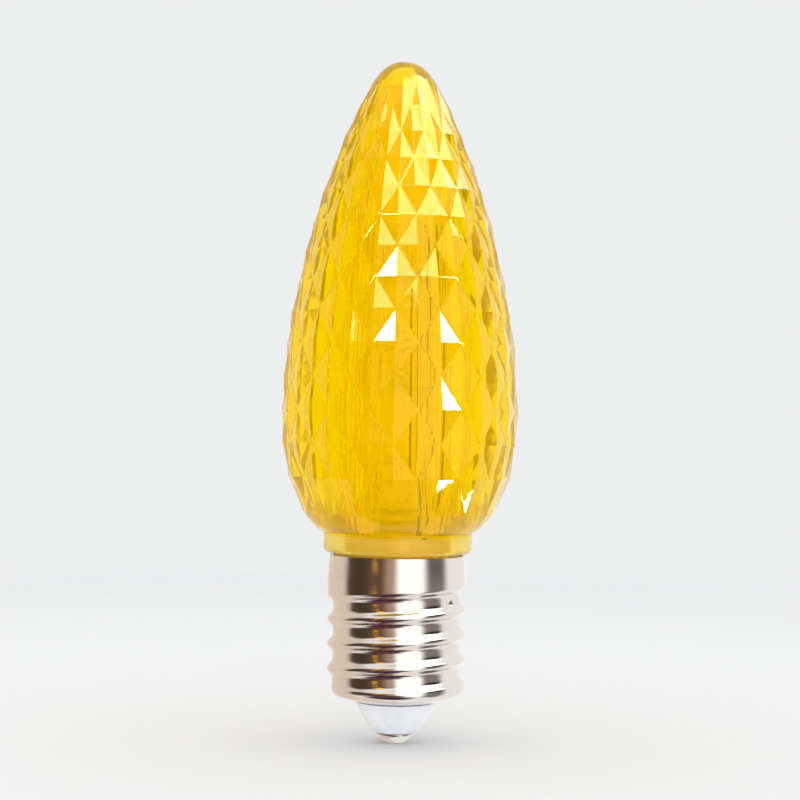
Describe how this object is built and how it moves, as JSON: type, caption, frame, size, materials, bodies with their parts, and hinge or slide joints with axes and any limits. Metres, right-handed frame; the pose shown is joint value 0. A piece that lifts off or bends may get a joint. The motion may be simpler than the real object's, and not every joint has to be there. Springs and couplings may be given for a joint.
{
  "type": "christmas light bulb",
  "caption": "Diamond-cut yellow LED Christmas bulb: tapered clear lens, rolled screw shell, white insulator cone and a centre contact, with a board of LEDs inside.",
  "frame": {"origin": "centre of the flat end face of the centre contact, where the bulb bottoms in its socket", "axes": "+Z along the bulb's axis from the contact to the lens tip, about which the screw shell turns; +X and +Y are any pair across it, with the pictured side facing -Y"},
  "size_m": [0.0286, 0.0286, 0.082],
  "materials": {
    "lens": "clear yellow polycarbonate, diamond-cut outside, fluted inside",
    "shell": "bright nickel plate on brass sheet",
    "insulator": "glossy white",
    "contact": "bright nickel plate",
    "solder": "bright tin solder",
    "carrier": "satin cream",
    "board": "white solder mask on glass-epoxy",
    "led": "white package with a clear resin window",
    "rectifier": "black epoxy",
    "film_capacitor": "red dipped epoxy",
    "chip_resistor": "black glaze",
    "chip_capacitor": "tan ceramic",
    "resistor": "tan lacquer",
    "white_lead": "white insulation",
    "red_lead": "red insulation"
  },
  "bodies": {
    "root": {"lens": "lens", "screw_shell": "shell", "tip_insulator": "insulator", "centre_contact": "contact", "tip_solder": "solder", "shell_solder": "solder", "board_carrier": "carrier", "circuit_board": "board", "led_1": "led", "led_2": "led", "led_3": "led", "led_4": "led", "led_5": "led", "bridge_rectifier": "rectifier", "film_capacitor": "film_capacitor", "bleed_resistor": "chip_resistor", "smoothing_capacitor": "chip_capacitor", "inrush_resistor": "resistor", "tip_lead": "white_lead", "shell_lead": "red_lead"}
  },
  "joints": []
}
